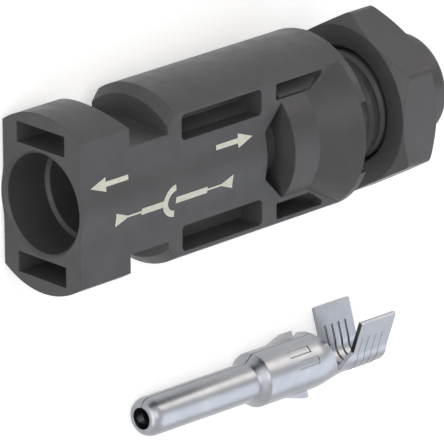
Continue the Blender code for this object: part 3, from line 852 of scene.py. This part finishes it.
def make_pin(finish):
    """Crimp pin: a rolled pin and collar that open into two crimp wings."""
    pin = pin_loft("rough_pin", 0.0)
    root = COLLAR_R - SHEET / 2
    tip = COLLAR_R + LANCE_LIFT
    for i, turn in enumerate(LANCE_ANGLES):
        outline = [(LANCE_X, root), (LANCE_END_X, root), (LANCE_END_X, tip),
                   (LANCE_END_X - LANCE_TIP, tip)]
        lance = prism(f"lance_{i}", outline, "Z", -LANCE_WIDTH / 2, LANCE_WIDTH / 2)
        lance.rotation_euler = (math.radians(turn), 0, 0)
        combine(pin, lance, "UNION")
    for ridge in wing_bands("serration_back", -SERRATION_RELIEF):
        combine(pin, ridge, "UNION")
    combine(pin, pin_loft("pin_hollow", SHEET))
    top = WING_TOP_Z + REACH
    cut_x = COLLAR_END_X + CUT_SETBACK
    low_x = cut_x + CUT_SLANT
    cut = [(cut_x, COLLAR_R), (low_x, CUT_FLOOR_Z), (low_x + CUT_FLOOR_LENGTH, CUT_FLOOR_Z),
           (WING_X, CUT_FLOOR_Z + CUT_CORNER), (WING_X, top), (cut_x, top)]
    notch = prism("wing_opening", cut, "Z", -WING_HALF_Y - REACH, WING_HALF_Y + REACH)
    notch.rotation_euler = (math.pi / 2, 0, 0)
    combine(pin, notch)
    combine(pin, block("seam", (-REACH, -SEAM_WIDTH / 2, 0),
                       (cut_x + REACH, SEAM_WIDTH / 2, COLLAR_R + REACH)))
    for i, turn in enumerate(STAMP_ANGLES):
        stamp_tab(pin, f"stamp_{i}", STAMP_X + i * STAMP_SHIFT, turn)
    for bite in wing_bands("serration", SHEET - SERRATION_DEPTH):
        combine(pin, bite)
    finish_piece(pin, "pin_contact_body", pin_matrix(), finish,
                 "coupler", "pin_contact")


def arrow(tip_x, direction, y):
    """Outline of a plain arrow whose tip is at tip_x."""
    head_x = tip_x - direction * ARROW_HEAD
    tail_x = tip_x - direction * ARROW_LENGTH
    return [(tip_x, y), (head_x, y + ARROW_HALF), (head_x, y + ARROW_SHAFT),
            (tail_x, y + ARROW_SHAFT), (tail_x, y - ARROW_SHAFT),
            (head_x, y - ARROW_SHAFT), (head_x, y - ARROW_HALF)]


def pointed_bar(base_x, direction, bar_x, end):
    """Outline of a triangle, a thin line and a bar in a row, the same above and below."""
    thin_x = base_x + direction * TRIANGLE_LENGTH * (1 - SYMBOL_THIN / TRIANGLE_HALF)
    upper = [(base_x, TRIANGLE_HALF), (thin_x, SYMBOL_THIN), (bar_x, SYMBOL_THIN),
             (bar_x, SYMBOL_LINE), *end]
    lower = [(x, -y) for x, y in reversed(upper) if y]
    return [(x, SYMBOL_Y + y) for x, y in upper + lower]


def socket_arc():
    """Outline of the half ring of the plug-and-socket sign, open towards +X."""
    centre = (SYMBOL_ARC_X, SYMBOL_Y)
    start, end = SYMBOL_ARC_ANGLES
    outer = arc(centre, SYMBOL_ARC_R, start, end, SYMBOL_ARC_STEPS)
    inner = arc(centre, SYMBOL_ARC_R - SYMBOL_ARC_WIDTH, end, start, SYMBOL_ARC_STEPS)
    return outer + inner


def print_shapes():
    """Outlines of everything printed on the upper flat side."""
    outer = SYMBOL_ARC_R + SYMBOL_GAP
    reach = math.degrees(math.asin(SYMBOL_LINE / outer))
    hug = arc((SYMBOL_ARC_X, 0), outer, 180 - reach, 180, SYMBOL_HUG_STEPS)
    return [arrow(ARROW_LEFT_X, -1, ARROW_Y), arrow(ARROW_RIGHT_X, 1, ARROW_Y), socket_arc(),
            pointed_bar(LEFT_MARK_X, 1, LEFT_BAR_X, hug),
            pointed_bar(RIGHT_MARK_X, -1, RIGHT_BAR_X, [(SYMBOL_ARC_X, SYMBOL_LINE)])]


def make_print(finish):
    """Printed signs: thin films that follow the flat side and the tube's bulge."""
    bm = bmesh.new()
    for outline in print_shapes():
        face = bm.faces.new([bm.verts.new((x, y, 0)) for x, y in outline])
        if face.normal.z < 0:
            face.normal_flip()
    y = -CROWN_R
    while y < CROWN_R:
        bmesh.ops.bisect_plane(bm, geom=bm.verts[:] + bm.edges[:] + bm.faces[:], dist=SNAP,
                               plane_co=(0, y, 0), plane_no=(0, 1, 0))
        y += PRINT_STEP
    grown = bmesh.ops.extrude_face_region(bm, geom=bm.faces[:])
    raised = {item for item in grown["geom"] if isinstance(item, bmesh.types.BMVert)}
    for vert in bm.verts:
        lift = PRINT_THICKNESS if vert in raised else 0.0
        vert.co.z = flat_height(vert.co.y) + PRINT_LIFT + lift
    marks = solid("rough_print", bm)
    finish_piece(marks, "print_marks", COUPLER, finish, "coupler")


class Nodes:
    """Small helper that builds one node material."""

    def __init__(self, name):
        self.material = bpy.data.materials.new(name)
        self.material.use_nodes = True
        self.tree = self.material.node_tree
        self.shader = self.tree.nodes["Principled BSDF"]
        self.place = self.tree.nodes.new("ShaderNodeTexCoord").outputs["Object"]

    def link(self, source, target):
        self.tree.links.new(source, target)

    def noise(self, scale, detail, stretch=None):
        """Noise over the object's own coordinates, in features per metre."""
        place = self.place
        if stretch:
            mapping = self.tree.nodes.new("ShaderNodeMapping")
            mapping.inputs["Scale"].default_value = stretch
            self.link(place, mapping.inputs["Vector"])
            place = mapping.outputs["Vector"]
        made = self.tree.nodes.new("ShaderNodeTexNoise")
        made.inputs["Scale"].default_value = scale
        made.inputs["Detail"].default_value = detail
        self.link(place, made.inputs["Vector"])
        return made.outputs["Fac"]

    def ramp(self, value, low, high):
        """Value remapped between low and high, which are numbers or colours."""
        made = self.tree.nodes.new("ShaderNodeValToRGB")
        ends = zip(made.color_ramp.elements, RAMP_STOPS, (low, high))
        for end, stop, tone in ends:
            end.position = stop
            end.color = (*tone, 1.0) if isinstance(tone, tuple) else (tone, tone, tone, 1.0)
        self.link(value, made.inputs["Fac"])
        return made.outputs["Color"]

    def soft_edges(self, radius):
        """Normals that turn softly round sharp edges, as on a moulded or tumbled piece."""
        made = self.tree.nodes.new("ShaderNodeBevel")
        made.samples = EDGE_SAMPLES
        made.inputs["Radius"].default_value = radius
        return made.outputs["Normal"]

    def bump(self, height, strength, distance, below=None):
        """Bump from a height, on top of another bump if given."""
        made = self.tree.nodes.new("ShaderNodeBump")
        made.inputs["Strength"].default_value = strength
        made.inputs["Distance"].default_value = distance
        self.link(height, made.inputs["Height"])
        if below:
            self.link(below, made.inputs["Normal"])
        return made.outputs["Normal"]


def moulded_plastic(name, tones, rough):
    """Moulded plastic with a fine eroded grain and a faint cloudiness."""
    made = Nodes(name)
    below, above = ROUGH_SPREAD
    made.link(made.ramp(made.noise(*CLOUD_NOISE), *tones), made.shader.inputs["Base Color"])
    made.link(made.ramp(made.noise(*GLOSS_NOISE), rough - below, rough + above),
              made.shader.inputs["Roughness"])
    grain = made.bump(made.noise(*GRAIN_NOISE), *GRAIN_BUMP, made.soft_edges(MOULDED_EDGE))
    wave = made.bump(made.noise(*WAVE_NOISE), *WAVE_BUMP, grain)
    made.link(wave, made.shader.inputs["Normal"])
    made.shader.inputs["Specular IOR Level"].default_value = PLASTIC_SPECULAR
    return made.material


def printed_ink(name):
    """Cream printing ink, slightly uneven."""
    made = Nodes(name)
    made.link(made.ramp(made.noise(*INK_NOISE), *INK_TONES), made.shader.inputs["Base Color"])
    made.shader.inputs["Roughness"].default_value = INK_ROUGH
    made.link(made.bump(made.noise(*INK_GRAIN_NOISE), *INK_BUMP), made.shader.inputs["Normal"])
    return made.material


def rubber(name):
    """Soft matt black rubber."""
    made = Nodes(name)
    made.link(made.ramp(made.noise(*RUBBER_NOISE), *RUBBER_TONES),
              made.shader.inputs["Base Color"])
    made.shader.inputs["Roughness"].default_value = RUBBER_ROUGH
    made.link(made.bump(made.noise(*RUBBER_GRAIN_NOISE), *RUBBER_BUMP),
              made.shader.inputs["Normal"])
    return made.material


def tin_plate(name):
    """Bright tin plate with faint drawing lines along the pin."""
    made = Nodes(name)
    made.link(made.ramp(made.noise(*TIN_NOISE), *TIN_TONES), made.shader.inputs["Base Color"])
    made.shader.inputs["Metallic"].default_value = 1.0
    made.link(made.ramp(made.noise(*GLOSS_NOISE), *TIN_ROUGH), made.shader.inputs["Roughness"])
    lines = made.noise(*DRAWN_NOISE, stretch=DRAWN_STRETCH)
    made.link(made.bump(lines, *DRAWN_BUMP, made.soft_edges(TIN_EDGE)),
              made.shader.inputs["Normal"])
    return made.material


def camera_axes():
    """Right, up and forward of the camera, and its place, in the coupler's frame."""
    az, el, roll = CAMERA_AZIMUTH, CAMERA_ELEVATION, CAMERA_ROLL
    right = Vector((math.cos(az), 0, math.sin(az)))
    forward = Vector((math.sin(az) * math.cos(el), -math.sin(el), -math.cos(az) * math.cos(el)))
    up = right.cross(forward)
    turned_right = right * math.cos(roll) + up * math.sin(roll)
    turned_up = up * math.cos(roll) - right * math.sin(roll)
    per_mm = CAMERA_LENS / SENSOR * PHOTO_SIZE / CAMERA_DISTANCE
    shift_x = (MATING_FACE_PIXEL[0] - PHOTO_SIZE / 2) / per_mm
    shift_y = -(MATING_FACE_PIXEL[1] - PHOTO_SIZE / 2) / per_mm
    place = -forward * CAMERA_DISTANCE - turned_right * shift_x - turned_up * shift_y
    return turned_right, turned_up, forward, place


def make_camera():
    """Camera at the photograph's angle and framing."""
    right, up, forward, place = camera_axes()
    local = Matrix((right, up, -forward)).transposed().to_4x4()
    turn = COUPLER.to_3x3().normalized().to_4x4()
    lens = bpy.data.cameras.new("camera")
    lens.lens = CAMERA_LENS
    lens.sensor_width = SENSOR
    lens.clip_start = CAMERA_CLIP
    camera = linked("camera", lens)
    camera.matrix_world = Matrix.Translation(COUPLER @ place) @ turn @ local
    bpy.context.scene.camera = camera


def area_light(name, place, size, power, colour):
    """Soft square lamp that looks at the object."""
    lamp = bpy.data.lights.new(name, "AREA")
    lamp.size = size
    lamp.energy = power
    lamp.color = colour
    made = linked(name, lamp)
    made.location = place
    made.rotation_euler = (-Vector(place)).to_track_quat("-Z", "Y").to_euler()


def math_node(tree, operation, *values):
    """Result of a Math node whose inputs are sockets or numbers."""
    made = tree.nodes.new("ShaderNodeMath")
    made.operation = operation
    for entry, value in zip(made.inputs, values):
        if isinstance(value, float):
            entry.default_value = value
        else:
            tree.links.new(value, entry)
    return made.outputs["Value"]


def seen_directly(tree):
    """1 for camera, glossy and transmission rays, 0 for the rays that light the object."""
    rays = tree.nodes.new("ShaderNodeLightPath")
    seen = rays.outputs["Is Camera Ray"]
    for other in ("Is Glossy Ray", "Is Transmission Ray"):
        seen = math_node(tree, "MAXIMUM", seen, rays.outputs[other])
    return seen


def make_lights():
    """Large soft lamps, warm and cool at the back and white in front, and a white world."""
    for lamp in LAMPS:
        area_light(*lamp)
    world = bpy.data.worlds.new("studio")
    bpy.context.scene.world = world
    world.use_nodes = True
    tree = world.node_tree
    sky = tree.nodes["Background"]
    sky.inputs["Color"].default_value = WHITE
    strength = math_node(tree, "MULTIPLY_ADD", seen_directly(tree),
                         1.0 - WORLD_STRENGTH, WORLD_STRENGTH)
    tree.links.new(strength, sky.inputs["Strength"])


def make_floor():
    """White table top that keeps the object's shadow."""
    bm = bmesh.new()
    bmesh.ops.create_grid(bm, x_segments=2, y_segments=2, size=FLOOR_HALF)
    mesh = bpy.data.meshes.new("floor")
    bm.to_mesh(mesh)
    bm.free()
    floor = linked("floor", mesh)
    made = Nodes("floor_white")
    shader = made.shader
    shader.inputs["Base Color"].default_value = FLOOR_COLOUR
    shader.inputs["Roughness"].default_value = FLOOR_ROUGH
    shader.inputs["Specular IOR Level"].default_value = FLOOR_SPECULAR
    shader.inputs["Emission Color"].default_value = WHITE
    glow = math_node(made.tree, "MULTIPLY", seen_directly(made.tree), FLOOR_GLOW)
    made.link(glow, shader.inputs["Emission Strength"])
    mesh.materials.append(made.material)


def main():
    """Stage the scene and make every piece."""
    make_camera()
    make_lights()
    make_floor()
    black = moulded_plastic("black_plastic", BLACK_TONES, BLACK_ROUGH)
    nut_black = moulded_plastic("nut_black_plastic", NUT_TONES, NUT_ROUGH)
    grey = moulded_plastic("cage_grey_plastic", CAGE_TONES, CAGE_ROUGH)
    make_housing(black)
    make_thread(black)
    make_nut(nut_black)
    make_nut_thread(nut_black)
    make_cage(grey)
    make_seal(rubber("seal_black_rubber"))
    make_pin(tin_plate("bright_tin"))
    make_print(printed_ink("cream_ink"))
    view = bpy.context.scene.view_settings
    view.view_transform = "Standard"


main()
